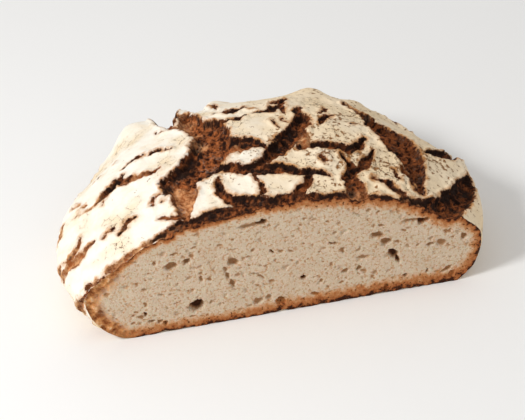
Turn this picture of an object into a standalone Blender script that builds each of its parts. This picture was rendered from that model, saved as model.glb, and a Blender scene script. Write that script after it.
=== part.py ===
"""A round, hand-shaped rye loaf with a straight cut across its front: one solid on its own flat underside.

The origin is on the underside, straight below the crown, the loaf's highest point. +Z is up, and the cut face
looks towards -Y. Places on the crust are given as (right, back): degrees of tilt away from the crown, as seen
from the origin, so that (0, 0) is the crown and (90, 0) the right-hand edge of the underside.
"""

import math

import bmesh
import bpy
import numpy as np
from mathutils import Vector, noise

MM = 0.001

# The whole loaf before it was cut, in millimetres.
LOAF_WIDTH = 300.0
CROWN_HEIGHT = 102.0
WAIST_HEIGHT = 41.0     # the side stands out furthest here
UNDERSIDE_WIDTH = 234.0
CUT_BEFORE_CROWN = 57.0

# Fullness of the dome above the waist: the height and radius exponents of a superellipse.
DOME_HEIGHT_POWER = 1.3
DOME_RADIUS_POWER = 2.15

# The baker's hand: broad swellings (+) and hollows (-) as (right, back), spread in degrees, height in mm.
SWELLINGS = [
    ((3, 62), 14, -10.0),    # low stretch behind the crown
    ((-8, 57), 5, 4.0),      # end of the rear plate
    ((27, 50), 6, 5.0),      # peak behind the crown
    ((36, 52), 4, -6.0),     # dip beside the peak
    ((43, 46), 4, 3.0),      # rear right plate
    ((56, 30), 15, -8.0),    # sunken right shoulder
    ((70, 6), 5, 4.0),       # plate that ends at the far right tear
    ((-41, 52), 6, 8.5),     # lifted edge of the left plate
    ((-58, 38), 12, -6.5),   # flat left shoulder
    ((-77, -8), 12, 5.0),    # full left side
    ((79, -14), 10, 2.5),    # full right side
    ((80, -34), 10, 6.0),    # foot pushed out beside the cut
    ((-80, -32), 9, 1.5),    # left end of the cut
    ((-2, 14), 9, 2.0),      # crown plate
    ((28, 8), 9, 2.0),       # plate right of the crown
    ((-48, 5), 14, 1.5),     # broad left plate
]

# Tears where the crust burst in the oven: depth in mm, then each tear's run as (right, back, half width mm).
TEARS = {
    "great left tear": (8.0, [
        (-22, 42, 5), (-20, 28, 8), (-19, 14, 13), (-24, 1, 14), (-33, -10, 11), (-33, -25, 4),
    ]),
    "cross tear": (5.0, [(-27, -5, 6), (-13, -9, 6), (-1, -14, 9), (8, -19, 4)]),
    "crescent below the crown": (5.0, [(-13, 10, 4), (-6, 4, 6), (1, 0, 3)]),
    "right tear": (7.0, [(19, 20, 4), (16, 12, 8), (10, 3, 8), (3, -4, 8)]),
    "lower right crescent": (4.5, [(13, -3, 5), (22, -2, 5), (31, -5, 4), (37, 2, 2)]),
    "right scoop": (8.0, [(40, 32, 4), (46, 19, 9), (50, 6, 15), (52, -6, 11), (51, -20, 3)]),
    "far right tear": (6.0, [(65, 2, 3), (71, 9, 5), (77, 18, 4)]),
    "corner tear": (7.5, [(44, -27, 5), (58, -26, 9), (66, -18, 8), (72, -7, 4)]),
    "short front tear": (4.5, [(28, -11, 3), (30, -17, 4), (28, -29, 7)]),
    "front branch": (3.5, [(31, -17, 3), (36, -14, 3), (40, -7, 2)]),
    "middle front tear": (4.0, [(0, -28, 5), (9, -24, 4), (18, -21, 3)]),
    "left slit": (4.0, [(-60, 6, 3), (-54, 9, 6), (-45, 6, 4), (-39, 2, 3)]),
    "upper left slit": (3.0, [(-48, 19, 3), (-42, 19, 4), (-33, 14, 3)]),
    "rear notch": (12.0, [(-30, 31, 4), (-29, 42, 9), (-28, 54, 10), (-27, 66, 9), (-26, 78, 4)]),
    "step behind the great tear": (4.0, [(-18, 44, 5), (-16, 54, 8), (-15, 66, 8), (-14, 76, 4)]),
    "rear tear": (5.0, [(5, 62, 3), (16, 72, 6), (30, 70, 5), (42, 60, 3)]),
    "low rear tear": (4.0, [(-30, 76, 3), (-46, 66, 5), (-58, 52, 3)]),
}
CLIFF_WIDTH = 9.0    # a tear's wall slopes over this distance, half of it outside the stated width
LIP_HEIGHT = 1.8     # the torn edges curl up
LIP_DISTANCE = 7.0
LIP_WIDTH = 5.0

CREASE_HEIGHT = 1.2    # soft lumps all over the crust
CREASE_SIZE = 26.0

BALL_LEVEL = 6    # fineness of the even ball of triangles that the crust is shaped from


def profile_radius(height):
    """Radius of the plain loaf at a height: a full dome above the waist, a round undercut below it."""
    rise = np.clip((height - WAIST_HEIGHT) / (CROWN_HEIGHT - WAIST_HEIGHT), 0, 1)
    drop = np.clip((WAIST_HEIGHT - height) / WAIST_HEIGHT, 0, 1)
    dome = LOAF_WIDTH / 2 * np.clip(1 - rise ** DOME_HEIGHT_POWER, 0, 1) ** (1 / DOME_RADIUS_POWER)
    undercut = UNDERSIDE_WIDTH / 2 + (LOAF_WIDTH - UNDERSIDE_WIDTH) / 2 * np.sqrt(1 - drop ** 2)
    return np.where(height >= WAIST_HEIGHT, dome, undercut)


def reach(directions):
    """How far the plain loaf reaches from the origin along each unit direction, by halving."""
    near = np.zeros(len(directions))
    far = np.full(len(directions), LOAF_WIDTH)
    for _ in range(40):
        middle = (near + far) / 2
        height = middle * directions[:, 2]
        across = middle * np.hypot(directions[:, 0], directions[:, 1])
        inside = (height < CROWN_HEIGHT) & (across < profile_radius(height))
        near = np.where(inside, middle, near)
        far = np.where(inside, far, middle)
    return near


def direction(right, back):
    """Unit direction from the origin to a place on the crust."""
    tilt = math.radians(math.hypot(right, back))
    bearing = math.atan2(back, right)
    return np.array([math.sin(tilt) * math.cos(bearing), math.sin(tilt) * math.sin(bearing), math.cos(tilt)])


def smooth_step(start, end, value):
    t = np.clip((value - start) / (end - start), 0, 1)
    return t * t * (3 - 2 * t)


def tear_opening(points, run):
    """One tear at each crust point: how open it is, from 1 on its floor to 0, and how much its lip curls."""
    ways = np.array([direction(right, back) for right, back, _ in run])
    line = ways * reach(ways)[:, None]
    half_widths = [half_width for _, _, half_width in run]
    edge = np.full(len(points), np.inf)    # distance outside the tear's edge, negative within it
    for start, end, w0, w1 in zip(line, line[1:], half_widths, half_widths[1:]):
        along = np.clip((points - start) @ (end - start) / np.sum((end - start) ** 2), 0, 1)
        gap = np.linalg.norm(points - start - along[:, None] * (end - start), axis=1)
        edge = np.minimum(edge, gap - (w0 + (w1 - w0) * along))
    opened = 1 - smooth_step(-CLIFF_WIDTH / 2, CLIFF_WIDTH / 2, edge)
    curl = np.exp(-((edge - LIP_DISTANCE) / LIP_WIDTH) ** 2)
    return opened, curl


def crust_points(directions):
    """Where the baked crust lies along each direction."""
    reached = reach(directions)
    plain = directions * reached[:, None]
    shift = np.zeros(len(directions))
    for place, spread, height in SWELLINGS:
        cosine = np.clip(directions @ direction(*place), -1, 1)
        shift += height * np.exp(-(np.degrees(np.arccos(cosine)) / spread) ** 2)
    sunk = np.zeros(len(directions))
    opened = np.zeros(len(directions))
    curled = np.zeros(len(directions))
    for depth, run in TEARS.values():
        here, curl = tear_opening(plain, run)
        sunk = np.maximum(sunk, depth * here)
        opened = np.maximum(opened, here)
        curled = np.maximum(curled, curl)
    lumps = np.array([noise.noise(Vector(point) / CREASE_SIZE) for point in plain])
    relief = LIP_HEIGHT * curled * (1 - opened) - sunk + CREASE_HEIGHT * lumps
    shift += relief * smooth_step(4.0, 22.0, plain[:, 2])    # the foot of the loaf stays smooth
    return directions * (reached + shift)[:, None]


def shape_whole_loaf(mesh):
    """The upper half of an even ball, each corner pushed out to the crust, closed by the flat underside."""
    bmesh.ops.create_icosphere(mesh, subdivisions=BALL_LEVEL, radius=1.0)
    below = [vert for vert in mesh.verts if vert.co.z < -1e-4]
    bmesh.ops.delete(mesh, geom=below, context="VERTS")
    directions = np.array([vert.co.normalized() for vert in mesh.verts])
    directions[:, 2] = np.where(directions[:, 2] < 1e-4, 0.0, directions[:, 2])
    for vert, point in zip(mesh.verts, crust_points(directions)):
        vert.co = Vector(point) * MM
    rim = [edge for edge in mesh.edges if edge.is_boundary]
    bmesh.ops.contextual_create(mesh, geom=rim)


def cut_front(mesh):
    """Slice the front away and close the cut with one flat face. Corners close to the cut move onto it."""
    everything = mesh.verts[:] + mesh.edges[:] + mesh.faces[:]
    bmesh.ops.bisect_plane(
        mesh,
        geom=everything,
        dist=0.8 * MM,
        plane_co=(0, -CUT_BEFORE_CROWN * MM, 0),
        plane_no=(0, -1, 0),
        use_snap_center=True,
        clear_outer=True,
    )
    outline = [edge for edge in mesh.edges if edge.is_boundary]
    made = bmesh.ops.contextual_create(mesh, geom=outline)
    for face in made["faces"]:
        face.material_index = 1


def baked_material(name, colour, roughness):
    material = bpy.data.materials.new(name)
    material.use_nodes = True
    shader = material.node_tree.nodes["Principled BSDF"]
    shader.inputs["Base Color"].default_value = (*colour, 1.0)
    shader.inputs["Roughness"].default_value = roughness
    shader.inputs["Metallic"].default_value = 0.0
    return material


def build_loaf():
    mesh = bmesh.new()
    shape_whole_loaf(mesh)
    cut_front(mesh)
    bmesh.ops.recalc_face_normals(mesh, faces=mesh.faces)
    data = bpy.data.meshes.new("loaf")
    mesh.to_mesh(data)
    mesh.free()
    data.materials.append(baked_material("floured_crust", (0.62, 0.43, 0.27), 0.85))
    data.materials.append(baked_material("rye_crumb", (0.56, 0.44, 0.31), 0.9))
    data.shade_smooth()
    data.set_sharp_from_angle(angle=math.radians(50))
    bpy.context.collection.objects.link(bpy.data.objects.new("loaf", data))


for old in list(bpy.data.objects):
    bpy.data.objects.remove(old)
build_loaf()
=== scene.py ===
import math

import bpy
import numpy as np
from mathutils import Matrix, Vector, geometry, noise


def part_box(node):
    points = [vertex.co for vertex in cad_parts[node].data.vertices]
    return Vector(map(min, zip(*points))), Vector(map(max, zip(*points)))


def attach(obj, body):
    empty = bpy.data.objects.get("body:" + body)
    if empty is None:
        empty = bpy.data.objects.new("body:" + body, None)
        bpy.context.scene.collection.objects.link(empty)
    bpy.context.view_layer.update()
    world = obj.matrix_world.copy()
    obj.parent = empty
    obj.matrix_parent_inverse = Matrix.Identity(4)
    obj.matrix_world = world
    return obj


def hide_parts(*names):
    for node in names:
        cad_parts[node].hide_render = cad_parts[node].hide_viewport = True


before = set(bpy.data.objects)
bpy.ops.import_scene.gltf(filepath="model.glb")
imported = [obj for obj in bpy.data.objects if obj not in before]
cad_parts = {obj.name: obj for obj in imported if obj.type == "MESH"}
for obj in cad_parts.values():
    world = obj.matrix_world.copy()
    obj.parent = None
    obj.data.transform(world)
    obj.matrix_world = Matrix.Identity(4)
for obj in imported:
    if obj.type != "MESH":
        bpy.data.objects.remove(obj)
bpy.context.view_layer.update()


# ------------------------------------------------------------------ the crust
# The skin of a round rye loaf, baked free-standing on a hot stone. Dough rolled in flour dries to a pale
# shell, then bursts as the loaf rises, and the moist dough in the tears bakes brown. Lengths in millimetres.

low, high = (np.array(corner) * 1000 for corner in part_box("loaf"))
CUT = low[1]                                  # the knife's plane
CROWN = 0.972 * high[2]                       # the plain dome; curled lips stand above it
WAIST = 0.39 * high[2]                        # the side stands out furthest here
RADIUS = 0.9767 * (high[0] - low[0]) / 2       # before its hand-shaped swellings
FOOT_RADIUS = 0.78 * RADIUS
DOME_HEIGHT_POWER = 1.3
DOME_RADIUS_POWER = 2.15

ROWS = 205                                    # slices from the cut to the back
COLUMNS = 480                                 # points round each slice
UNDERSIDE_DENSITY = 0.3                       # the plain underside needs fewer points
BACK_SPREAD = 0.3                             # slices lie further apart towards the back


def smooth_step(start, end, value):
    t = np.clip((value - start) / (end - start), 0, 1)
    return t * t * (3 - 2 * t)


def is_dough(x, y, z):
    """Whether points lie inside the plain loaf: a full dome above the waist, a round undercut below it."""
    rise = np.clip((z - WAIST) / (CROWN - WAIST), 0, 1)
    drop = np.clip((WAIST - z) / WAIST, 0, 1)
    dome = RADIUS * (1 - rise ** DOME_HEIGHT_POWER) ** (1 / DOME_RADIUS_POWER)
    undercut = FOOT_RADIUS + (RADIUS - FOOT_RADIUS) * np.sqrt(1 - drop ** 2)
    return (z > 0) & (z < CROWN) & (np.hypot(x, y) < np.where(z > WAIST, dome, undercut))


def skin(start, ways):
    """Where rays from a start point inside the loaf meet its plain skin, found by halving."""
    near = np.zeros(ways.shape[:-1])
    far = np.full(ways.shape[:-1], 2.2 * RADIUS)
    for _ in range(36):
        middle = (near + far) / 2
        at = start + ways * middle[..., None]
        inside = is_dough(at[..., 0], at[..., 1], at[..., 2])
        near = np.where(inside, middle, near)
        far = np.where(inside, far, middle)
    return start + ways * near[..., None]


def place(right, back):
    """A place on the plain crust, in degrees of tilt right of and behind the crown, seen from below it."""
    tilt = np.radians(np.hypot(right, back))
    bearing = np.arctan2(back, right)
    way = np.array([np.sin(tilt) * np.cos(bearing), np.sin(tilt) * np.sin(bearing), np.cos(tilt)])
    return skin(np.zeros(3), way)


def slice_places():
    """How far back each slice lies: close together at the cut, wider apart at the back."""
    heights = np.linspace(CROWN, WAIST, 4000)
    reach = np.array([skin(np.array([0, 0, z]), np.array([0.0, 1.0, 0.0]))[1] for z in heights])
    front = reach < -CUT
    line = np.concatenate([-reach[front][::-1], reach])
    rise = np.concatenate([heights[front][::-1], heights])
    length = np.concatenate([[0], np.cumsum(np.hypot(np.diff(line), np.diff(rise)))])
    t = np.linspace(0, 1, ROWS)
    wanted = length[-1] * ((1 - BACK_SPREAD) * t + BACK_SPREAD * t ** 2.2)
    places = np.interp(wanted, length, line)
    places[0] = CUT
    places[-1] = RADIUS - 0.2
    return places


def slice_points(y):
    """Points round one slice from below the heart, evenly spaced but sparser on the underside."""
    angles = np.linspace(0, 2 * np.pi, 1801)
    heart = np.array([0, y, WAIST])
    ways = np.stack([-np.sin(angles), np.zeros_like(angles), -np.cos(angles)], axis=-1)
    round_slice = skin(heart, ways)
    step = np.linalg.norm(np.diff(round_slice, axis=0), axis=1)
    step *= UNDERSIDE_DENSITY + (1 - UNDERSIDE_DENSITY) * smooth_step(0.5, 6, round_slice[1:, 2])
    along = np.concatenate([[0], np.cumsum(step)])
    wanted = along[-1] * np.arange(COLUMNS) / COLUMNS
    return np.stack([np.interp(wanted, along, round_slice[:, axis]) for axis in range(3)], axis=-1)


plain = np.array([slice_points(y) for y in slice_places()])          # rows, columns, xyz


def outward(grid):
    """Unit normals of the grid of points, pointing out of the loaf."""
    across = np.roll(grid, -1, axis=1) - np.roll(grid, 1, axis=1)
    back = np.gradient(grid, axis=0)
    normals = np.cross(back, across)
    normals /= np.linalg.norm(normals, axis=-1, keepdims=True) + 1e-12
    return normals * np.sign(np.sum(normals * (grid - [0, 0, WAIST]), axis=-1, keepdims=True) + 1e-9)


# Broad swellings and hollows of the hand-shaped dough: (right, back) in degrees, spread in degrees, height.
SWELLINGS = [
    ((3, 62), 14, -10.0),
    ((-8, 57), 5, 4.0),
    ((27, 50), 6, 5.0),
    ((36, 52), 4, -6.0),
    ((43, 46), 4, 3.0),
    ((56, 30), 15, -8.0),
    ((70, 6), 5, 4.0),
    ((-41, 52), 6, 8.5),
    ((-58, 38), 12, -6.5),
    ((-77, -8), 12, 5.0),
    ((79, -14), 10, 2.5),
    ((80, -34), 10, 6.0),
    ((-80, -32), 9, 1.5),
    ((-2, 14), 9, 2.0),
    ((28, 8), 9, 2.0),
    ((-48, 5), 14, 1.5),
]

# Where one plate of crust has slid under its neighbour and stayed floured: depth and run, as for the tears.
STEPS = [
    (4.0, [(-18, 44, 5), (-16, 54, 8), (-15, 66, 8), (-14, 76, 4)]),
    (1.6, [(-23, 41, 3), (-14, 42, 5), (-8, 46, 2)]),
    (1.5, [(20, 30, 2), (24, 36, 5), (30, 38, 6)]),
]
STEP_WALL = 4.0

# Tears in the crust: depth, scorch from 0 (golden) to 1 (black), and the run as (right, back, half width).
TEARS = {
    "great left tear": (7.5, 0.3, [
        (-23, 43, 3), (-23, 36, 7), (-22, 28, 9), (-18.5, 21, 12), (-17.5, 13, 13), (-19, 5, 14),
        (-24, -1, 13), (-32, -8, 12), (-32.5, -16, 9), (-33, -21, 5.5), (-34, -25, 2.5)]),
    "great tear, charred side": (9.5, 1, [
        (-25, 26, 1.5), (-23, 17, 3), (-25, 9, 4), (-29, 2.5, 4), (-33, -1, 3.5), (-38, -3.5, 2.5)]),
    "great tear, dark streak": (9.0, 0.8, [(-14, 20, 1.5), (-13.5, 14, 3), (-14.5, 9, 2.5)]),
    "great tear, lower left": (5.5, 0.85, [(-38.5, -4, 1.5), (-38, -9, 2.8), (-36.5, -12, 1.5)]),
    "great tear, side branch": (4.5, 0.3, [(-26, 30, 4), (-30, 31, 2), (-35, 33, 1.2)]),
    "rear notch": (11.0, 0.35, [(-30, 33, 2), (-29, 42, 8), (-28, 54, 10), (-27, 66, 9), (-26, 78, 4)]),
    "band under the rear plate": (5.5, 0.85, [
        (-19, 28, 3), (-15, 25.5, 4.5), (-10, 24, 3.8), (-6, 24.5, 3.2), (-3, 26, 1.5)]),
    "rear slit": (4.5, 0.9, [(-12.5, 34, 1.5), (-9, 33, 3), (-5, 33.5, 3), (-1, 34.5, 1.5)]),
    "rear slit, tail": (1.5, 0.4, [(-1, 33, 0.9), (3, 31, 0.8)]),
    "rear zigzag": (4.5, 0.85, [
        (14, 32, 2.5), (10.5, 29.5, 4), (7.5, 27, 3.2), (4, 27.5, 1), (1, 26.5, 0.8)]),
    "rear hole": (4.5, 0.8, [(10, 35, 2), (12.5, 35.5, 4.5), (15, 38, 2.5)]),
    "rear streak": (2.5, 0.4, [(13.5, 33, 1.5), (13, 28, 2), (12.5, 24, 1)]),
    "far slit": (3.0, 0.6, [(-11, 47, 1.2), (-11, 43, 2.2), (-11.5, 40, 1.2)]),
    "crown slit": (3.5, 0.85, [(18.5, 28, 1.5), (18, 24, 2.8), (18.5, 20, 2.5)]),
    "crown marks": (1.4, 0.6, [(7, 18, 0.8), (8, 13, 0.9)]),
    "crown marks, right": (1.4, 0.6, [(11, 20, 0.8), (12, 16, 1)]),
    "crescent below the crown": (5.5, 0.75, [
        (-13, 10, 2), (-9, 6.5, 4.5), (-5, 4, 5), (-1, 1, 3.2), (1, -1, 1.5)]),
    "crescent, lower side": (3.5, 0.15, [(-15, 4, 5), (-10.5, 1.5, 3.8), (-6, 0.5, 2)]),
    "cross tear": (5.5, 0.8, [
        (-28, -6, 4.5), (-21, -6, 4.5), (-15, -8, 5), (-9.5, -11.5, 5.5), (-4, -13, 5.5), (2, -14, 5),
        (8, -16.5, 3.5), (15, -18.5, 2.8), (21, -20.5, 1.5)]),
    "right tear": (7.0, 0.8, [
        (19.5, 21, 3), (18, 16, 6), (15, 10.5, 7.5), (11.5, 5, 6.5), (7.5, 0, 6.5), (3.5, -4, 6),
        (0, -8, 4), (-5, -9.5, 2.5)]),
    "right tear, split": (2.8, 0.9, [(13, 10, 2.2), (8.5, 6, 2), (5, 4, 1)]),
    "right tear, shelf": (3.2, 0.35, [(16.5, 9, 4), (16, 2, 4.5), (14, -3, 3.5)]),
    "lower right crescent": (5.0, 0.8, [
        (15, -3, 4), (19, -2.5, 4), (23, -3.5, 4), (28, -4.5, 3.8), (32, -5.5, 3.5), (35.5, -3, 2.5),
        (38, 2, 1.5)]),
    "right slit": (3.5, 0.8, [(29, 20, 2.5), (26.5, 16, 3.5), (24, 12.5, 2.2)]),
    "small rear slit": (2.5, 0.7, [(29, 27, 1.8), (27.5, 24, 2.2), (26, 22, 0.8)]),
    "plate edge crack": (1.5, 0.7, [(36, 12, 0.8), (39, 13, 1)]),
    "right scoop": (7.5, 0.6, [
        (37.5, 38, 3), (40, 32, 4.5), (44.5, 27, 8), (47.5, 19, 14), (49.3, 10, 17.5), (51, 1, 15),
        (52, -8, 10.5), (51.8, -14, 7), (50.8, -20, 4), (50, -24, 1.5)]),
    "far right tear": (6.0, 1, [(59.5, 2.5, 2), (62, 4, 4.5), (66, 6, 6.5), (70, 11, 6), (74, 16, 3)]),
    "corner tear": (7.0, 0.95, [
        (44, -29, 2), (50, -28, 3), (54.5, -27, 6.5), (59, -25.5, 10), (65.5, -16.5, 9.5), (69.5, -9, 7),
        (72, -2, 3)]),
    "front tear": (5.0, 0.75, [
        (28, -9, 1.5), (29, -13, 2.5), (29.5, -17, 4.5), (28, -22, 6), (28, -30, 7)]),
    "front tear, branch": (4.0, 0.7, [
        (30, -19, 3), (34.5, -14, 3.2), (37.5, -9.5, 2.6), (39.6, -5.5, 1.8)]),
    "front slit": (3.0, 0.8, [(36, -21, 1.5), (40, -24, 3), (43.5, -27, 2.5)]),
    "plate gap": (2.5, 0.8, [(44, -15, 1.2), (44, -20, 1.6)]),
    "broken plate edge": (3.5, 0.5, [(47.5, -12, 1.5), (48, -18, 2), (49, -24, 1.5)]),
    "small dark slit": (2.5, 0.8, [(20, -9.5, 1.2), (21, -13, 1.8)]),
    "between the lower plates": (4.5, 0.8, [(13, -20, 2), (11, -24, 3.5), (7, -29, 4.5)]),
    "gap under the cross tear": (3.5, 0.8, [(-7, -16, 1.6), (-5.6, -20, 1.1), (-5, -25, 2.5)]),
    "left front tear": (4.5, 0.8, [
        (-20.3, -13, 1.6), (-20.5, -19, 3), (-18, -24.5, 3.5), (-12, -27.5, 5), (-6, -28.5, 3.5)]),
    "middle front tear": (4.5, 0.9, [(-8, -30, 5), (-2, -30.5, 4), (5, -30, 4.5)]),
    "knife edge tear": (4.0, 0.9, [
        (-45, -27.5, 2.5), (-35, -27.8, 3.5), (-24, -29, 5), (-12, -30.5, 6), (0, -32, 5)]),
    "knife edge tear, right": (4.0, 0.9, [
        (4, -32, 5), (14, -32, 4.5), (28, -31.5, 6), (36, -31.5, 4.5), (48, -30, 4.5)]),
    "knife edge split": (2.0, 0.45, [(-70, -27.5, 1.5), (-58, -27.5, 1.8), (-45, -27.5, 2)]),
    "upper left slit": (4.0, 0.8, [
        (-49, 17.5, 0.8), (-46.5, 18.3, 2.4), (-43.5, 19.2, 2.8), (-41.5, 19, 1.2)]),
    "upper left slit, middle": (3.5, 0.8, [
        (-40, 17.5, 1.8), (-37.5, 17, 2.5), (-35.5, 16.2, 1.6), (-32.5, 15.2, 1)]),
    "left slit": (5.5, 0.9, [
        (-60.5, 4.5, 0.8), (-58, 6.5, 2.4), (-55, 8, 4.8), (-52, 9.5, 4.6), (-50, 11.5, 1.2)]),
    "left slit, tail": (3.5, 0.45, [
        (-51, 7, 2.5), (-48, 6.5, 3.2), (-45, 5, 3.2), (-41, 4, 2.2), (-38, 4, 1)]),
    "left edge slit": (2.5, 0.1, [(-73, 1.5, 1), (-73, 5, 3), (-71.5, 10.5, 1.5)]),
    "short left slit": (2.0, 0.2, [(-58.5, 22.5, 1), (-58, 24.5, 1.6)]),
    "rear left spot": (1.5, 0.1, [(-51.5, 26, 1), (-50.5, 29, 0.9)]),
    "lower left slit": (2.5, 0.7, [(-75, -11, 2), (-70, -12, 1.8), (-66.5, -10, 2), (-66, -7, 1.5)]),
    "lower left split": (2.0, 0.3, [(-73, -14, 2.5), (-67, -14, 2.5), (-62, -13.5, 1.8)]),
    "lower left dash": (1.5, 0.6, [(-59, -14, 1.2), (-56, -13.5, 1.2)]),
    "lower left hole": (2.2, 0.8, [(-54.5, -16, 1.8), (-52.5, -15, 2.2), (-49, -14, 1.2)]),
    "fine front split": (1.8, 0.5, [(-42, -20, 1), (-38, -23, 1.5), (-35, -25, 1.2)]),
    "left dashes": (1.5, 0.1, [(-63, 9.5, 1.2), (-65.5, 8.5, 1.4)]),
    "left dashes, upper": (1.2, 0.1, [(-68, 15, 0.8), (-65, 12.5, 0.8)]),
    "left dashes, low": (1.2, 0.1, [(-67, 7, 0.8), (-62, 5, 1)]),
    "left hairline": (1.0, 0.5, [(-58, 1.5, 0.7), (-57, 4, 0.8)]),
    "left hairline, middle": (1.0, 0.5, [(-44, -13.5, 0.8), (-42, -10, 0.9), (-40, -9, 0.5)]),
    "left hairline, front": (1.0, 0.4, [(-40, -13, 0.8), (-38, -10.5, 0.9)]),
    "left end of the cut": (4.0, 0.1, [(-88, -27, 4), (-80, -27, 5), (-74, -26, 4), (-66, -26, 2)]),
    "back tear": (6.0, 0.5, [(5, 62, 3), (14, 70, 7), (26, 70, 6), (40, 60, 3)]),
    "back tear, branch": (4.0, 0.6, [(14, 70, 4), (10, 78, 3), (12, 84, 1.5)]),
    "low back tear": (5.0, 0.4, [(-34, 76, 2), (-46, 66, 6), (-56, 54, 4), (-60, 44, 1.5)]),
    "back slit": (3.5, 0.7, [(-8, 64, 1.5), (-6, 71, 3.5), (-10, 78, 2)]),
    "back right slit": (3.0, 0.7, [(52, 52, 1.5), (57, 46, 3.5), (62, 36, 2)]),
    "back left slit": (2.5, 0.3, [(-66, 30, 1.5), (-70, 38, 2.5), (-68, 46, 1)]),
    "side slit": (2.5, 0.4, [(78, 30, 1.2), (74, 38, 3), (68, 44, 1.5)]),
}

# Where the flour has rubbed off the crust in specks: (right, back), spread in degrees, and how much is gone.
WORN = [
    ((9, 0), 8, 0.8), ((21, -8), 9, 0.8), ((34, -11), 7, 0.9), ((45, -16), 6, 0.8), ((26, 8), 9, 0.45),
    ((-21, -9), 6, 0.9), ((-45, 1), 4, 0.7), ((60, 0), 9, 0.7), ((-5, -4), 6, 0.5), ((-13, 12), 3, 0.8),
    ((34, 20), 9, 0.5), ((16, -27), 8, 0.5), ((30, 60), 12, 0.5), ((-20, 70), 12, 0.5), ((55, 55), 12, 0.5),
]

# Where the torn dough stayed golden: (right, back), spread in degrees, and how golden it is.
GOLDEN = [
    ((-27, 36), 5, 0.8), ((-25, 25), 3.5, 0.9), ((-22.5, 14), 3, 0.9), ((-31, -19), 4, 0.9),
    ((-34, -11), 4, 0.6),
    ((-11, 2.5), 3, 0.8), ((17, 2), 4, 0.7), ((-46, 5), 4, 0.6), ((-73, 4), 5, 1.0), ((-70, -12), 6, 0.9),
    ((-84, -28), 10, 1.0), ((-51, 26), 4, 1.0), ((-64, 10), 6, 1.0), ((29, -31), 5, 0.5),
    ((46, -31), 5, 0.5),
    ((66, -30), 5, 0.5), ((-50, -29), 12, 0.6), ((40, 34), 4, 0.5), ((-14, 30), 4, 0.4),
]

WALL = 1.9             # a tear's wall drops over this distance
LIP = 1.5              # its edge curls up this high
LIP_PLACE = 1.8        # this far outside the edge
LIP_WIDTH = 2.2
FAR_FROM_TEARS = 12.0


def ragged(points, size, strength, seed):
    """Points pushed about by smooth noise of this size, so that what is measured from them is ragged."""
    across = Vector((seed, 2 * seed, 3 * seed))
    back = across + Vector((31.4, 5.2, 17.7))
    up = across + Vector((8.3, 43.1, 26.9))
    scaled = [Vector(point) / size for point in points]
    push = np.array([[noise.noise(point + way) for way in (across, back, up)] for point in scaled])
    return points + strength * push


def lumps(points, size, seed, octaves=1):
    """Smooth noise from -1 to 1 with lumps of this size."""
    offset = Vector((seed, 2 * seed, 3 * seed))
    return np.array([noise.fractal(Vector(p) / size + offset, 1.0, 2.0, octaves) for p in points])


def outside_run(points, run):
    """Distance of each point outside a run of (right, back, half width), negative within it."""
    line = np.array([place(right, back) for right, back, _ in run])
    widths = [half_width for _, _, half_width in run]
    outside = np.full(len(points), FAR_FROM_TEARS)
    near = np.linalg.norm(points - line.mean(axis=0), axis=1) < np.ptp(line, axis=0).max() + 45
    own = outside[near]
    for start, end, w0, w1 in zip(line, line[1:], widths, widths[1:]):
        away = points[near] - start
        along = np.clip(away @ (end - start) / np.sum((end - start) ** 2), 0, 1)
        gap = np.linalg.norm(away - along[:, None] * (end - start), axis=1)
        own = np.minimum(own, gap - (w0 + (w1 - w0) * along))
    outside[near] = own
    return outside


def bursting(points):
    """The burst crust at each point: distance outside the nearest tear (negative in it), depth, scorch."""
    torn = ragged(ragged(points, 9.0, 2.6, 1.0), 3.2, 1.4, 2.0)
    edge = np.full(len(points), FAR_FROM_TEARS)
    sunk = np.zeros(len(points))
    scorch = np.zeros(len(points))
    for depth, burnt, run in TEARS.values():
        own = outside_run(torn, run)
        drop = depth * smooth_step(0.4, 0.4 - WALL, own) * (0.62 + 0.38 * smooth_step(0, -7, own))
        sunk = np.maximum(sunk, drop)
        edge = np.minimum(edge, own)
        scorch = np.maximum(scorch, burnt * smooth_step(2.5, -1.0, own))
    slid = np.zeros(len(points))
    for depth, run in STEPS:
        slid = np.maximum(slid, depth * smooth_step(STEP_WALL / 2, -STEP_WALL / 2, outside_run(torn, run)))
    return edge, sunk + slid, scorch


def near_places(ways, places):
    """The sum of soft round patches, each ((right, back), spread in degrees, height), at each direction."""
    total = np.zeros(len(ways))
    for (right, back), spread, height in places:
        way = place(right, back)
        turned = np.degrees(np.arccos(np.clip(ways @ way / np.linalg.norm(way), -1, 1)))
        total += height * np.exp(-(turned / spread) ** 2)
    return total


flat_plain = plain.reshape(-1, 3)
normals = outward(plain).reshape(-1, 3)
edge, sunk, scorch = bursting(flat_plain)
on_floor = smooth_step(-0.5, -2.5, edge)

ways = flat_plain / np.linalg.norm(flat_plain, axis=1, keepdims=True)
swelling = near_places(ways, SWELLINGS)
worn = np.clip(near_places(ways, WORN), 0, 1)
golden = np.clip(near_places(ways, GOLDEN), 0, 1)

broad = lumps(flat_plain, 26.0, 5.0)
clods = lumps(flat_plain, 6.5, 6.0, 3)
grit = lumps(flat_plain, 2.6, 7.0, 2)
crags = 0.5 - np.abs(lumps(flat_plain, 8.0, 9.0, 2))             # sharp crests of torn dough
curl = LIP * np.exp(-((edge - LIP_PLACE) / LIP_WIDTH) ** 2) * (0.7 + 0.9 * clods)
torn_relief = 1.9 * clods + 1.1 * grit + 2.4 * crags
skin_relief = 0.4 * clods + (0.1 + 0.25 * worn) * grit
relief = 1.0 * broad + curl - sunk + on_floor * torn_relief + (1 - on_floor) * skin_relief
above_foot = smooth_step(3.0, 20.0, flat_plain[:, 2])
foot_noise = 0.9 * clods * (1 - above_foot)
push = swelling + relief * above_foot
push = np.where(flat_plain[:, 2] < 0.5, 0.0, push + foot_noise)

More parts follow.
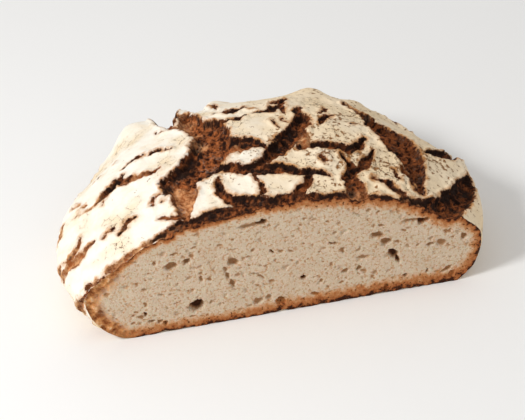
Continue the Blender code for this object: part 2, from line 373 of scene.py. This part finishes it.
step_back = smooth_step(0, 8, flat_plain[:, 1] - CUT)    # the cut's outline stays in the knife's plane
keep = np.stack([np.ones_like(push), step_back, np.ones_like(push)], axis=1)
shifted = flat_plain + normals * push[:, None] * keep
low_edge = smooth_step(6, 0.5, flat_plain[:, 2])    # the foot stands on its lumps, with gaps between
shifted[:, 2] = np.maximum(shifted[:, 2], 0) + 2.4 * low_edge * np.abs(lumps(flat_plain, 9.0, 8.0, 3))
crust_points = shifted.reshape(plain.shape)

# Walls of the tears that look forward, from under the lifted plates, are darkened: they took the most heat,
# and their darkness is also painted shade under the lifted plates.
faces_front = normals[:, 1] - outward(crust_points).reshape(-1, 3)[:, 1]
charred = smooth_step(0.25, 0.8, faces_front) * smooth_step(1.2, -0.8, edge)
scorch = np.clip(0.8 * scorch + 0.6 * charred - 0.5 * golden, 0, 1)


def mesh_piece(name, points, faces, marks):
    """A smooth mesh object from points in millimetres, with one float attribute for each named mark."""
    data = bpy.data.meshes.new(name)
    data.from_pydata(np.asarray(points, float) / 1000, [], faces)
    for mark, values in marks.items():
        data.attributes.new(mark, "FLOAT", "POINT").data.foreach_set("value", np.asarray(values, np.float32))
    data.shade_smooth()
    data.update()
    made = bpy.data.objects.new(name, data)
    bpy.context.collection.objects.link(made)
    return made


def crust_faces():
    """Quads between neighbouring slices, and a fan that closes the back."""
    faces = []
    for row in range(ROWS - 1):
        here, beyond = row * COLUMNS, (row + 1) * COLUMNS
        for column in range(COLUMNS):
            after = (column + 1) % COLUMNS
            faces.append((here + column, beyond + column, beyond + after, here + after))
    last, pole = (ROWS - 1) * COLUMNS, ROWS * COLUMNS
    faces += [(last + column, pole, last + (column + 1) % COLUMNS) for column in range(COLUMNS)]
    return faces


# Flour is thicker on the left and thinner towards the right; this fall from left to right also carries
# painted light and shade, lighter on the side the key lamp falls on.
right_degrees = np.degrees(np.arctan2(flat_plain[:, 0], np.maximum(flat_plain[:, 2], 1)))
flour = 0.95 - 0.35 * smooth_step(-34, 22, right_degrees) + 0.1 * broad
flour *= smooth_step(0, 34, flat_plain[:, 2])

pole_point = crust_points[-1].mean(axis=0)
crust = mesh_piece(
    "loaf_crust",
    np.vstack([shifted, pole_point]),
    crust_faces(),
    {
        "tear": np.append(edge, FAR_FROM_TEARS),
        "scorch": np.append(scorch, 0),
        "flour": np.append(flour, 0.3),
        "worn": np.append(worn, 0),
        "golden": np.append(golden, 0),
    },
)


def linear(hex_colour):
    """An sRGB hex colour as linear RGBA."""
    channels = [int(hex_colour[i:i + 2], 16) / 255 for i in (1, 3, 5)]
    return tuple(c / 12.92 if c <= 0.04045 else ((c + 0.055) / 1.055) ** 2.4 for c in channels) + (1.0,)


def add(tree, kind, inputs=(), output=0, **settings):
    """Adds a shader node with its settings, sets or links its live inputs, and returns one live output."""
    made = tree.nodes.new("ShaderNode" + kind)
    for setting, value in settings.items():
        setattr(made, setting, value)
    live = [socket for socket in made.inputs if socket.enabled]
    for key, value in dict(inputs).items():
        socket = live[key] if isinstance(key, int) else next(s for s in live if s.name == key)
        if isinstance(value, bpy.types.NodeSocket):
            tree.links.new(value, socket)
        else:
            socket.default_value = value
    given = [socket for socket in made.outputs if socket.enabled]
    return given[output] if isinstance(output, int) else made.outputs[output]


def new_material(name):
    """An empty node material and its tree."""
    material = bpy.data.materials.new(name)
    material.use_nodes = True
    material.node_tree.nodes.clear()
    return material, material.node_tree


def blend(tree, share, first, second):
    """Mixes two colours, each a hex value or a live socket, by a share from 0 to 1."""
    ends = [linear(colour) if isinstance(colour, str) else colour for colour in (first, second)]
    return add(tree, "Mix", {0: share, 1: ends[0], 2: ends[1]}, data_type="RGBA")


def floured_rye_crust():
    """Baked rye crust: a dry, matt flour shell, broken at the tears over toasted to charred brown dough."""
    material, tree = new_material("floured_rye_crust")
    here = add(tree, "TexCoord", output="Object")
    mm = add(tree, "VectorMath", {0: here, "Scale": 1000.0}, operation="SCALE")
    tear = add(tree, "Attribute", output="Fac", attribute_name="tear")
    scorch_and_shade = add(tree, "Attribute", output="Fac", attribute_name="scorch")
    flour_and_side_light = add(tree, "Attribute", output="Fac", attribute_name="flour")
    rubbed = add(tree, "Attribute", output="Fac", attribute_name="worn")
    gold = add(tree, "Attribute", output="Fac", attribute_name="golden")

    fine = add(tree, "TexNoise", {"Vector": mm, "Scale": 1 / 1.6, "Detail": 6.0, "Roughness": 0.62})
    clumps = add(tree, "TexNoise", {"Vector": mm, "Scale": 1 / 3.5, "Detail": 5.0, "Roughness": 0.65})
    patchy = add(tree, "TexNoise", {"Vector": mm, "Scale": 1 / 9.0, "Detail": 4.0, "Roughness": 0.6})
    broad_patches = add(tree, "TexNoise", {"Vector": mm, "Scale": 1 / 24.0, "Detail": 3.0, "Roughness": 0.55})

    # Where the flour shell ends, made ragged at the size of its crumbs.
    frayed = add(tree, "Math", {0: fine, 1: 2.4, 2: -2.4}, operation="MULTIPLY_ADD")
    frayed = add(tree, "Math", {0: clumps, 1: 2.6, 2: frayed}, operation="MULTIPLY_ADD")
    border = add(tree, "Math", {0: tear, 1: frayed}, operation="ADD")
    shell = add(tree, "MapRange", {0: border, 1: 0.1, 2: 0.9}, interpolation_type="SMOOTHSTEP")

    # Flour: thick on the left, thinner elsewhere, and rubbed off in brown specks. Its white tone on the left
    # and cream tone elsewhere is partly painted light and shade: white where the key lamp falls, cream on the
    # side turned from it.
    flour_tone_and_side_light = add(tree, "MapRange", {0: flour_and_side_light, 1: 0.5, 2: 0.92})
    floury = blend(tree, flour_tone_and_side_light, "#f4dab2", "#fbf3e4")
    cream = add(tree, "MapRange", {0: broad_patches, 1: 0.45, 2: 0.7, 4: 0.7})
    floury = blend(tree, cream, floury, "#eed3a9")
    specks = add(tree, "Math", {0: flour_and_side_light, 1: 0.22, 2: 0.600}, operation="MULTIPLY_ADD")
    specks = add(tree, "Math", {0: rubbed, 1: -0.12, 2: specks}, operation="MULTIPLY_ADD")
    bare = add(tree, "Math", {0: patchy, 1: 0.25, 2: clumps}, operation="MULTIPLY_ADD")
    bare = add(tree, "Math", {0: bare, 1: specks}, operation="SUBTRACT")
    bare = add(tree, "MapRange", {0: bare, 1: -0.02, 2: 0.07}, interpolation_type="SMOOTHSTEP")
    toasted = blend(tree, fine, "#5f3a22", "#b98552")
    shell_tone = blend(tree, bare, floury, toasted)

    # Fine cracks in the dry flour, 5 to 9 mm apart, in patches.
    bend = add(tree, "Math", {0: clumps, 1: 5.0}, operation="MULTIPLY")
    bent = add(tree, "VectorMath", {0: mm, 1: bend}, operation="ADD")
    cells = add(tree, "TexVoronoi", {"Vector": bent, "Scale": 1 / 7.0}, feature="DISTANCE_TO_EDGE")
    reach = add(tree, "MapRange", {0: rubbed, 3: 0.6, 4: 0.42})
    reach = add(tree, "Math", {0: broad_patches, 1: reach}, operation="SUBTRACT")
    width = add(tree, "MapRange", {0: reach, 1: -0.06, 2: 0.14, 3: 0.0, 4: 0.05})
    broken = add(tree, "MapRange", {0: fine, 1: 0.42, 2: 0.6})
    width = add(tree, "Math", {0: width, 1: broken}, operation="MULTIPLY")
    crack = add(tree, "Math", {0: cells, 1: width}, operation="LESS_THAN")
    crack_share = add(tree, "Math", {0: crack, 1: 0.75}, operation="MULTIPLY")
    shell_tone = blend(tree, crack_share, shell_tone, "#6b452b")

    # Next to a tear the flour is thin and the crust toasts tan.
    rim = add(tree, "MapRange", {0: border, 1: 3.6, 2: 0.4}, interpolation_type="SMOOTHSTEP")
    rim_patches = add(tree, "MapRange", {0: patchy, 1: 0.3, 2: 0.6})
    rim = add(tree, "Math", {0: rim, 1: rim_patches}, operation="MULTIPLY")
    shell_tone = blend(tree, rim, shell_tone, "#c58a52")

    # Torn dough: golden to reddish brown crumbs, black where it faced the heat, dusted with stray flour; the
    # black also paints the shade under the lifted plates.
    clump_tone = add(tree, "MapRange", {0: clumps, 1: 0.40, 2: 0.62})
    torn = blend(tree, clump_tone, "#34150a", "#bb6a38")
    gold = add(tree, "Math", {0: patchy, 1: 1.2, 2: gold}, operation="MULTIPLY_ADD")
    gold = add(tree, "MapRange", {0: gold, 1: 0.62, 2: 1.3}, interpolation_type="SMOOTHSTEP")
    torn = blend(tree, gold, torn, blend(tree, clump_tone, "#a85f30", "#eeb27c"))
    stray = add(tree, "Math", {0: fine, 1: patchy}, operation="MULTIPLY")
    stray = add(tree, "MapRange", {0: stray, 1: 0.28, 2: 0.4, 4: 0.45}, interpolation_type="SMOOTHSTEP")
    torn = blend(tree, stray, torn, "#b9a698")
    # Black from scorch, which also carries painted shade on the forward walls under the lifted plates.
    burn_and_shade = add(tree, "Math", {0: patchy, 1: 1.8, 2: -0.95}, operation="MULTIPLY_ADD")
    burn_and_shade = add(tree, "Math", {0: scorch_and_shade, 1: burn_and_shade}, operation="ADD")
    burn_and_shade = add(tree, "MapRange", {0: burn_and_shade, 1: 0.3, 2: 0.95, 4: 0.95}, interpolation_type="SMOOTHSTEP")
    torn = blend(tree, burn_and_shade, torn, "#190d09")

    # The wall of a tear is darkest just below its edge: char, and painted shade under the edge.
    wall_char_and_shade = add(tree, "MapRange", {0: border, 1: -2.2, 2: -0.4, 4: 0.35}, interpolation_type="SMOOTHSTEP")
    torn = blend(tree, wall_char_and_shade, torn, "#2a140b")

    tone = blend(tree, shell, torn, shell_tone)
    roughness = add(tree, "MapRange", {0: shell, 3: 0.88, 4: 0.95})
    height = add(tree, "Math", {0: clumps, 1: 0.7, 2: fine}, operation="MULTIPLY_ADD")
    height = add(tree, "Math", {0: crack, 1: -0.8, 2: height}, operation="MULTIPLY_ADD")
    height = add(tree, "Math", {0: bare, 1: -0.6, 2: height}, operation="MULTIPLY_ADD")
    depth = add(tree, "MapRange", {0: shell, 3: 0.0011, 4: 0.0004})
    bump = add(tree, "Bump", {"Strength": 1.0, "Distance": depth, "Height": height})
    finish = add(tree, "BsdfPrincipled", {
        "Base Color": tone, "Roughness": roughness, "Normal": bump, "IOR": 1.4, "Specular IOR Level": 0.2})
    tree.links.new(finish, tree.nodes.new("ShaderNodeOutputMaterial").inputs["Surface"])
    return material


crust.data.materials.append(floured_rye_crust())
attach(crust, "root")
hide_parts("loaf")


# ------------------------------------------------------------------ the crumb
# The soft inside of the loaf, bared by one straight cut. Dense, greyish rye crumb, its pores opened by the
# knife; towards the crust it dries and browns. It meets the crust along the outline of the cut.

outline = crust_points[0][:, [0, 2]]                             # across, up
CRUMB_GRAIN = 0.72                                               # spacing of the points on the face
EDGE_CLEARANCE = 0.55

# Large pores: across, up, half length, half height, turn in degrees, depth, and darkness of the painted shade
# inside the pore.
PORES = [
    (-64, 18.5, 6.0, 5.2, 25, 7.0, 1.0), (-79, 57, 5.0, 3.4, 10, 3.0, 0.5),
    (-68, 59, 3.0, 2.4, 0, 3.0, 0.65),
    (-35.5, 51.5, 5.0, 3.0, -20, 3.2, 0.5), (-23, 80, 9.0, 1.8, 0, 2.0, 0.4),
    (-15, 81, 4.0, 2.0, 0, 4.0, 0.9),
    (-42, 46, 1.3, 3.0, 10, 2.0, 0.4), (-40.5, 40, 1.2, 4.0, 8, 2.0, 0.5),
    (-38, 33, 1.5, 4.5, 15, 2.0, 0.55),
    (-22, 38, 4.0, 0.9, -5, 1.2, 0.35), (-17, 34.5, 1.4, 3.4, 25, 1.5, 0.45),
    (-59, 42, 1.5, 2.4, 0, 1.8, 0.45),
    (-99, 41, 2.6, 1.4, 10, 1.2, 0.35), (-112, 46, 3.0, 2.0, 0, 1.0, 0.2),
    (-101, 18.5, 1.5, 2.0, 0, 3.0, 1.0),
    (-97, 12, 2.8, 1.5, 10, 2.0, 0.6), (-91, 11, 2.2, 1.8, 0, 2.0, 0.5), (-87, 8, 1.8, 2.0, 0, 3.0, 0.95),
    (-21, 13, 4.2, 3.0, 30, 2.4, 0.4), (-13, 15, 2.6, 2.2, 0, 1.8, 0.4), (-5, 10, 4.0, 3.8, 20, 4.0, 0.85),
    (12, 27, 2.0, 2.2, 0, 3.0, 0.95), (20, 11, 3.2, 1.8, -10, 2.0, 0.8), (42, 26.5, 2.6, 2.2, 0, 2.0, 0.45),
    (52, 26.5, 2.2, 2.2, 0, 2.0, 0.5), (41, 45, 1.8, 2.4, 0, 1.6, 0.45), (66, 53, 5.0, 2.6, -10, 2.6, 0.6),
    (72, 46, 4.2, 3.2, 15, 3.0, 0.55), (77, 34, 3.4, 5.0, 30, 5.0, 0.95), (80, 28, 1.9, 4.0, 15, 4.0, 0.9),
    (92, 60.5, 9.0, 1.9, -5, 2.2, 0.4), (99, 58.5, 4.6, 2.8, 5, 4.5, 0.95),
    (55, 36, 5.0, 1.7, -8, 1.6, 0.4),
    (104, 37, 3.4, 1.7, 0, 2.0, 0.5), (112, 37, 4.4, 3.2, -30, 2.0, 0.45),
    (128, 39, 2.4, 3.0, 30, 2.0, 0.6),
    (85.5, 13, 1.7, 1.7, 0, 4.0, 1.0), (71, 5, 1.4, 3.2, -15, 3.0, 1.0), (115, 12, 5.5, 1.8, 30, 2.0, 0.6),
    (119, 7, 1.8, 3.6, -20, 2.0, 0.7), (-9, 55, 1.1, 2.4, 30, 2.0, 0.9), (34, 53, 3.0, 0.9, -20, 1.6, 0.7),
    (22, 75.5, 3.0, 1.9, 0, 1.0, 0.25), (52, 74, 4.0, 0.9, -40, 1.0, 0.25),
    (-88, 34, 2.6, 1.4, 0, 1.2, 0.3),
    (-77, 67, 2.0, 1.2, 30, 1.4, 0.45), (-90, 62, 1.6, 1.4, 0, 1.4, 0.45),
    (101, 13.5, 0.9, 1.6, 20, 1.8, 0.8),
]
SMALL_PORES = 1000


def all_pores():
    """The large pores and many small ones, thrown evenly over the face."""
    throw = np.random.default_rng(11)
    across = throw.uniform(-140, 142, SMALL_PORES)
    up = throw.uniform(4, 94, SMALL_PORES)
    size = 0.45 + 1.5 * throw.random(SMALL_PORES) ** 3.0
    stretch = throw.uniform(1.0, 1.5, SMALL_PORES)
    turn = throw.uniform(-50, 50, SMALL_PORES)
    dark = throw.uniform(0.12, 0.55, SMALL_PORES)
    small = np.stack([across, up, size * stretch, size / stretch ** 0.5, turn, size * 0.5, dark], axis=1)
    return np.vstack([np.array(PORES), small])


def face_mesh():
    """Points and triangles that fill the outline of the cut; the outline's own points come first."""
    spacing_up = CRUMB_GRAIN * math.sqrt(3) / 2
    throw = np.random.default_rng(3)
    rows = np.arange(0.4, high[2], spacing_up)
    columns = np.arange(low[0], high[0], CRUMB_GRAIN)
    across, up = np.meshgrid(columns, rows)
    across = across + CRUMB_GRAIN / 2 * (np.arange(len(rows)) % 2)[:, None]
    inner = np.stack([across.ravel(), up.ravel()], axis=1)
    inner += throw.uniform(-0.12, 0.12, inner.shape)
    inner = inner[signed_gap(inner) > EDGE_CLEARANCE]
    everything = [Vector(point) for point in np.vstack([outline, inner])]
    loop = list(range(len(outline)))
    found = geometry.delaunay_2d_cdt(everything, [], [loop], 1, 1e-6)
    return np.array([tuple(point) for point in found[0]]), [tuple(face) for face in found[2]]


def signed_gap(points):
    """Distance from each point to the outline of the cut, negative outside it."""
    gap = np.full(len(points), 1e9)
    crossings = np.zeros(len(points), int)
    for start, end in zip(outline, np.roll(outline, -1, axis=0)):
        run = end - start
        away = points - start
        along = np.clip(away @ run / max(run @ run, 1e-12), 0, 1)
        gap = np.minimum(gap, np.linalg.norm(away - along[:, None] * run, axis=1))
        spans = (start[1] > points[:, 1]) != (end[1] > points[:, 1])
        rise = run[1] if abs(run[1]) > 1e-12 else 1e-12
        crossings += spans & (points[:, 0] < start[0] + (points[:, 1] - start[1]) * run[0] / rise)
    return np.where(crossings % 2 == 1, gap, -gap)


face_points, face_triangles = face_mesh()
rim = np.maximum(signed_gap(face_points), 0)
rim[:len(outline)] = 0
spread = np.stack([face_points[:, 0], np.zeros(len(face_points)), face_points[:, 1]], axis=1)
bent = ragged(ragged(spread, 3.4, 1.2, 12.0), 1.3, 0.5, 13.0)[:, [0, 2]]

pore_shade = np.zeros(len(face_points))
pit = np.zeros(len(face_points))
for across, up, half_length, half_height, turn, depth, dark in all_pores():
    near = np.hypot(bent[:, 0] - across, bent[:, 1] - up) < 1.3 * max(half_length, half_height) + 1
    cosine, sine = math.cos(math.radians(turn)), math.sin(math.radians(turn))
    dx, dy = bent[near, 0] - across, bent[near, 1] - up
    reach = np.hypot((dx * cosine + dy * sine) / half_length, (dy * cosine - dx * sine) / half_height)
    bowl = np.sqrt(np.clip(1 - reach ** 2, 0, 1))
    pit[near] = np.maximum(pit[near], depth * bowl)
    # Painted shade inside the pore, darkest over its middle.
    pore_shade[near] = np.maximum(pore_shade[near], dark * smooth_step(1.0, 0.6, reach))

grain = lumps(spread, 2.4, 14.0, 2)
rough_end = smooth_step(-106, -124, face_points[:, 0]) * smooth_step(15, 6, rim)    # torn here, not cut
chunks = lumps(spread, 7.0, 15.0, 3)
sag = pit - 0.12 * grain + 0.15 + 2.2 * rough_end * (0.4 - chunks)
sag *= smooth_step(0, 1.2, rim)
crumb_points = np.stack([face_points[:, 0], CUT + np.maximum(sag, 0), face_points[:, 1]], axis=1)
crumb_points[:len(outline)] = crust_points[0]

band = np.interp(face_points[:, 1], [6, 26], [10.0, 4.5]) + 3.5 * smooth_step(-40, 20, face_points[:, 0])
band += 4 * smooth_step(-106, -128, face_points[:, 0])
crumb = mesh_piece("loaf_crumb", crumb_points, face_triangles, {
    "pore_shade": pore_shade, "baked": rim / band, "torn_end": rough_end, "chunk": chunks})


def rye_crumb():
    """Baked rye crumb: matt, greyish beige, with painted shade in its pores and a toasted band by the crust.
    """
    material, tree = new_material("rye_crumb")
    here = add(tree, "TexCoord", output="Object")
    mm = add(tree, "VectorMath", {0: here, "Scale": 1000.0}, operation="SCALE")
    hole = add(tree, "Attribute", output="Fac", attribute_name="pore_shade")
    baked = add(tree, "Attribute", output="Fac", attribute_name="baked")

    fine = add(tree, "TexNoise", {"Vector": mm, "Scale": 1 / 1.1, "Detail": 4.0, "Roughness": 0.6})
    blots = add(tree, "TexNoise", {"Vector": mm, "Scale": 1 / 2.2, "Detail": 4.0, "Roughness": 0.6})
    ragged_edge = add(tree, "TexNoise", {"Vector": mm, "Scale": 1 / 4.0, "Detail": 5.0, "Roughness": 0.65})
    cloudy = add(tree, "TexNoise", {"Vector": mm, "Scale": 1 / 14.0, "Detail": 3.0})

    # Pale crumb with the cut skins of countless small bubbles in it.
    pale = blend(tree, cloudy, "#c6af94", "#dcc9b0")
    speck = add(tree, "MapRange", {0: blots, 1: 0.5, 2: 0.63, 4: 0.75}, interpolation_type="SMOOTHSTEP")
    body = blend(tree, speck, pale, "#bd9068")
    dot = add(tree, "MapRange", {0: fine, 1: 0.6, 2: 0.7, 4: 0.7}, interpolation_type="SMOOTHSTEP")
    body = blend(tree, dot, body, "#a3703f")
    light = add(tree, "MapRange", {0: fine, 1: 0.4, 2: 0.30, 4: 0.6}, interpolation_type="SMOOTHSTEP")
    body = blend(tree, light, body, "#eee2cf")

    # Painted shade in the pores: brown, then dark brown where the pore is darkest.
    soft_pore_shade = add(tree, "Math", {0: fine, 1: 0.2, 2: -0.1}, operation="MULTIPLY_ADD")
    soft_pore_shade = add(tree, "Math", {0: hole, 1: soft_pore_shade}, operation="ADD")
    body = blend(tree, add(tree, "MapRange", {0: soft_pore_shade, 1: 0.04, 2: 0.42}), body, "#a87d57")
    body = blend(tree, add(tree, "MapRange", {0: soft_pore_shade, 1: 0.42, 2: 0.95}), body, "#4a2a1a")

    # The band by the crust: golden where it fades into the crumb, brown with dark spots outside.
    wander = add(tree, "Math", {0: ragged_edge, 1: 1.7, 2: -0.85}, operation="MULTIPLY_ADD")
    share = add(tree, "Math", {0: baked, 1: wander}, operation="ADD")
    body = blend(tree, add(tree, "MapRange", {0: share, 1: 1.15, 2: 0.55, 4: 0.9}), body, "#c98a52")
    body = blend(tree, add(tree, "MapRange", {0: share, 1: 0.75, 2: 0.2, 4: 0.9}), body, "#9c5528")
    brink = add(tree, "MapRange", {0: share, 1: 0.26, 2: 0.0}, interpolation_type="SMOOTHSTEP")
    body = blend(tree, brink, body, "#3a1c0f")
    in_band = add(tree, "MapRange", {0: share, 1: 1.0, 2: 0.7})
    char = add(tree, "MapRange", {0: blots, 1: 0.58, 2: 0.66, 4: 0.85}, interpolation_type="SMOOTHSTEP")
    body = blend(tree, add(tree, "Math", {0: char, 1: in_band}, operation="MULTIPLY"), body, "#43200f")

    # The torn left end: golden and floury chunks with brown between them.
    end = add(tree, "Attribute", output="Fac", attribute_name="torn_end")
    chunk = add(tree, "Attribute", output="Fac", attribute_name="chunk")
    crumbly = add(tree, "Math", {0: blots, 1: 1.6, 2: -0.4}, operation="MULTIPLY_ADD")
    chunk = add(tree, "Math", {0: chunk, 1: 0.6, 2: crumbly}, operation="MULTIPLY_ADD")
    golden = blend(tree, add(tree, "MapRange", {0: chunk, 1: 0.05, 2: 0.6}), "#8a4a22", "#d89a60")
    golden = blend(tree, add(tree, "MapRange", {0: chunk, 1: 0.6, 2: 0.95}), golden, "#f0d3ad")
    body = blend(tree, add(tree, "Math", {0: end, 1: 0.8}, operation="MULTIPLY"), body, golden)

    bump = add(tree, "Bump", {"Strength": 1.0, "Distance": 0.00025, "Height": fine})
    finish = add(tree, "BsdfPrincipled", {
        "Base Color": body, "Roughness": 0.9, "Normal": bump, "IOR": 1.4, "Specular IOR Level": 0.2,
        "Subsurface Weight": 0.15, "Subsurface Scale": 0.002})
    tree.links.new(finish, tree.nodes.new("ShaderNodeOutputMaterial").inputs["Surface"])
    return material


crumb.data.materials.append(rye_crumb())
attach(crumb, "root")
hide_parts("loaf")


# ------------------------------------------------------------------ the studio
# A pale floor, one soft key lamp high on the left and a white fill from all round.

FLOOR_SIZE = 8.0
bpy.ops.mesh.primitive_plane_add(size=FLOOR_SIZE, location=(0, 0, 0))
floor = bpy.context.object
floor.name = "floor"
floor_paint, floor_tree = new_material("matt_white_floor")
paint = add(floor_tree, "BsdfPrincipled", {"Base Color": linear("#f4f3f1"), "Roughness": 0.9})
floor_tree.links.new(paint, floor_tree.nodes.new("ShaderNodeOutputMaterial").inputs["Surface"])
floor.data.materials.append(floor_paint)

world = bpy.data.worlds.new("white_fill")
world.use_nodes = True
world.node_tree.nodes["Background"].inputs["Color"].default_value = (1, 1, 1, 1)
world.node_tree.nodes["Background"].inputs["Strength"].default_value = 0.6
bpy.context.scene.world = world


def aimed(location, target, roll=0.0):
    """The transform that looks from a location at a target, turned clockwise about its line of sight."""
    look = (Vector(target) - Vector(location)).to_track_quat("-Z", "Y").to_matrix().to_4x4()
    return Matrix.Translation(location) @ look @ Matrix.Rotation(-roll, 4, "Z")


key_data = bpy.data.lights.new("key", "AREA")
key_data.shape = "DISK"
key_data.size = 0.45
key_data.energy = 15.5
key = bpy.data.objects.new("key", key_data)
bpy.context.collection.objects.link(key)
key.matrix_world = aimed((-1.1, -0.45, 1.15), (0, 0, 0.04))

VIEW_TARGET = Vector((-0.004, 0.003, 0.046))
VIEW_AZIMUTH = math.radians(-8.5)
VIEW_ELEVATION = math.radians(37)
VIEW_DISTANCE = 1.25
VIEW_ROLL = math.radians(4.6)
camera_data = bpy.data.cameras.new("camera")
camera_data.sensor_width = 36.0
camera_data.lens = 119.5
camera = bpy.data.objects.new("camera", camera_data)
bpy.context.collection.objects.link(camera)
backwards = Vector((
    math.sin(VIEW_AZIMUTH) * math.cos(VIEW_ELEVATION),
    -math.cos(VIEW_AZIMUTH) * math.cos(VIEW_ELEVATION),
    math.sin(VIEW_ELEVATION),
))
camera.matrix_world = aimed(VIEW_TARGET + VIEW_DISTANCE * backwards, VIEW_TARGET, VIEW_ROLL)
bpy.context.scene.camera = camera
bpy.context.scene.view_settings.view_transform = "Standard"
